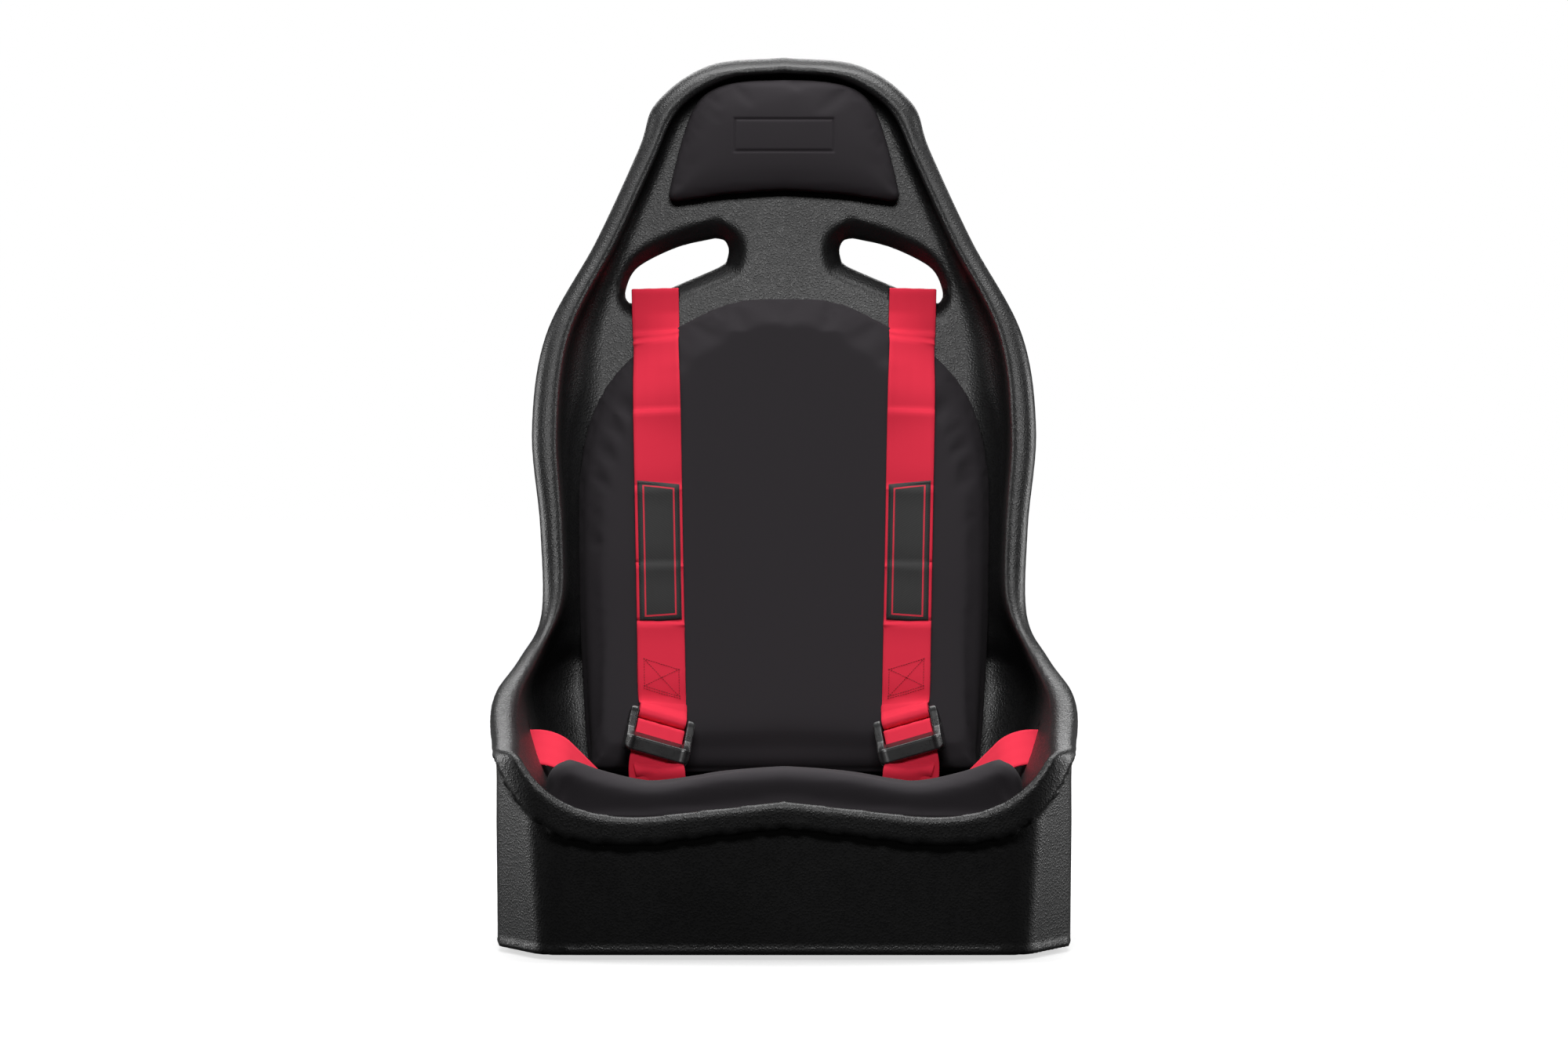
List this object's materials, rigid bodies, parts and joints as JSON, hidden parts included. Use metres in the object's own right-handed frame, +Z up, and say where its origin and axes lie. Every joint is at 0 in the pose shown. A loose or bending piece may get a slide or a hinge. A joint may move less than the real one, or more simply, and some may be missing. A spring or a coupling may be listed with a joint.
{
  "type": "racing seat",
  "caption": "One-piece moulded bucket seat on a plinth, with head pad, back pad and cushion, threaded shoulder belts with tilt-lock adjusters, and lap belts.",
  "frame": {"origin": "centre of the bottom bolt pattern, on the plinth's underside", "axes": "+Z up, -Y towards the front of the seat, +X to the right of a person who faces the seat"},
  "size_m": [0.576, 0.6582, 0.9],
  "materials": {
    "shell_plastic": "black pebble-grained rotationally moulded polyethylene, satin",
    "plug_plastic": "black push-in plug",
    "pad_fabric": "black napped fabric over foam",
    "hook_tape": "black hook-and-loop strip",
    "webbing": "red polyester webbing, ribbed along its length",
    "badge": null,
    "buckle_black": "gloss black coated steel",
    "lock_bar_steel": "black knurled steel bar",
    "anchor_steel": "black coated steel plate",
    "bolt_steel": "black oxide steel",
    "insert_brass": "knurled brass insert"
  },
  "bodies": {
    "root": {"shell": "shell_plastic", "bottom_inserts": "insert_brass", "side_inserts": "insert_brass", "lap_anchor_inserts": "insert_brass", "shoulder_anchor_inserts": "insert_brass", "vent_plug": "plug_plastic", "lap_anchor_bolts": "bolt_steel", "lap_anchor_washers": "bolt_steel", "shoulder_anchor_bolts": "bolt_steel", "shoulder_anchor_washers": "bolt_steel", "back_pad": "pad_fabric", "back_pad_hook_tape": "hook_tape", "head_pad": "pad_fabric", "head_pad_hook_tape": "hook_tape", "seat_cushion": "pad_fabric", "seat_cushion_hook_tape": "hook_tape", "shoulder_belt_left": "webbing", "belt_badge_left": "badge", "lower_belt_left": "webbing", "lap_belt_left": "webbing", "shoulder_belt_right": "webbing", "belt_badge_right": "badge", "lower_belt_right": "webbing", "lap_belt_right": "webbing"},
    "adjuster_left": {"adjuster_frame_left": "buckle_black"},
    "lock_bar_body_left": {"lock_bar_left": "lock_bar_steel"},
    "lap_anchor_left": {"lap_anchor_plate_left": "anchor_steel"},
    "shoulder_anchor_left": {"shoulder_anchor_plate_left": "anchor_steel"},
    "adjuster_right": {"adjuster_frame_right": "buckle_black"},
    "lock_bar_body_right": {"lock_bar_right": "lock_bar_steel"},
    "lap_anchor_right": {"lap_anchor_plate_right": "anchor_steel"},
    "shoulder_anchor_right": {"shoulder_anchor_plate_right": "anchor_steel"}
  },
  "joints": [
    {"name": "adjuster_tilt_left", "type": "hinge", "parent": "root", "child": "adjuster_left", "pos_m": [-0.12477, 0.11474, 0.203], "axis": [-0.9744, 0.0749, 0.2121], "range_deg": [0, 40], "deforming": ["lower_belt_left"]},
    {"name": "lock_bar_slide_left", "type": "slide", "parent": "adjuster_left", "child": "lock_bar_body_left", "axis": [-0.225, -0.3243, -0.9188], "range_m": [0, 0.003]},
    {"name": "lap_anchor_swivel_left", "type": "hinge", "parent": "root", "child": "lap_anchor_left", "pos_m": [-0.275, 0.04042, 0.10999], "axis": [1, 0, 0], "range_deg": [-20, 20], "deforming": ["lap_belt_left"]},
    {"name": "shoulder_anchor_swivel_left", "type": "hinge", "parent": "root", "child": "shoulder_anchor_left", "pos_m": [-0.1323, 0.2908, 0.49], "axis": [0, -0.9734, 0.2291], "range_deg": [-15, 15], "deforming": ["shoulder_belt_left"]},
    {"name": "adjuster_tilt_right", "type": "hinge", "parent": "root", "child": "adjuster_right", "pos_m": [0.12477, 0.11474, 0.203], "axis": [-0.9744, -0.0749, -0.2121], "range_deg": [0, 40], "deforming": ["lower_belt_right"]},
    {"name": "lock_bar_slide_right", "type": "slide", "parent": "adjuster_right", "child": "lock_bar_body_right", "axis": [0.225, -0.3243, -0.9188], "range_m": [0, 0.003]},
    {"name": "lap_anchor_swivel_right", "type": "hinge", "parent": "root", "child": "lap_anchor_right", "pos_m": [0.275, 0.04042, 0.10999], "axis": [1, 0, 0], "range_deg": [-20, 20], "deforming": ["lap_belt_right"]},
    {"name": "shoulder_anchor_swivel_right", "type": "hinge", "parent": "root", "child": "shoulder_anchor_right", "pos_m": [0.1323, 0.2908, 0.49], "axis": [0, 0.9734, -0.2291], "range_deg": [-15, 15], "deforming": ["shoulder_belt_right"]}
  ]
}
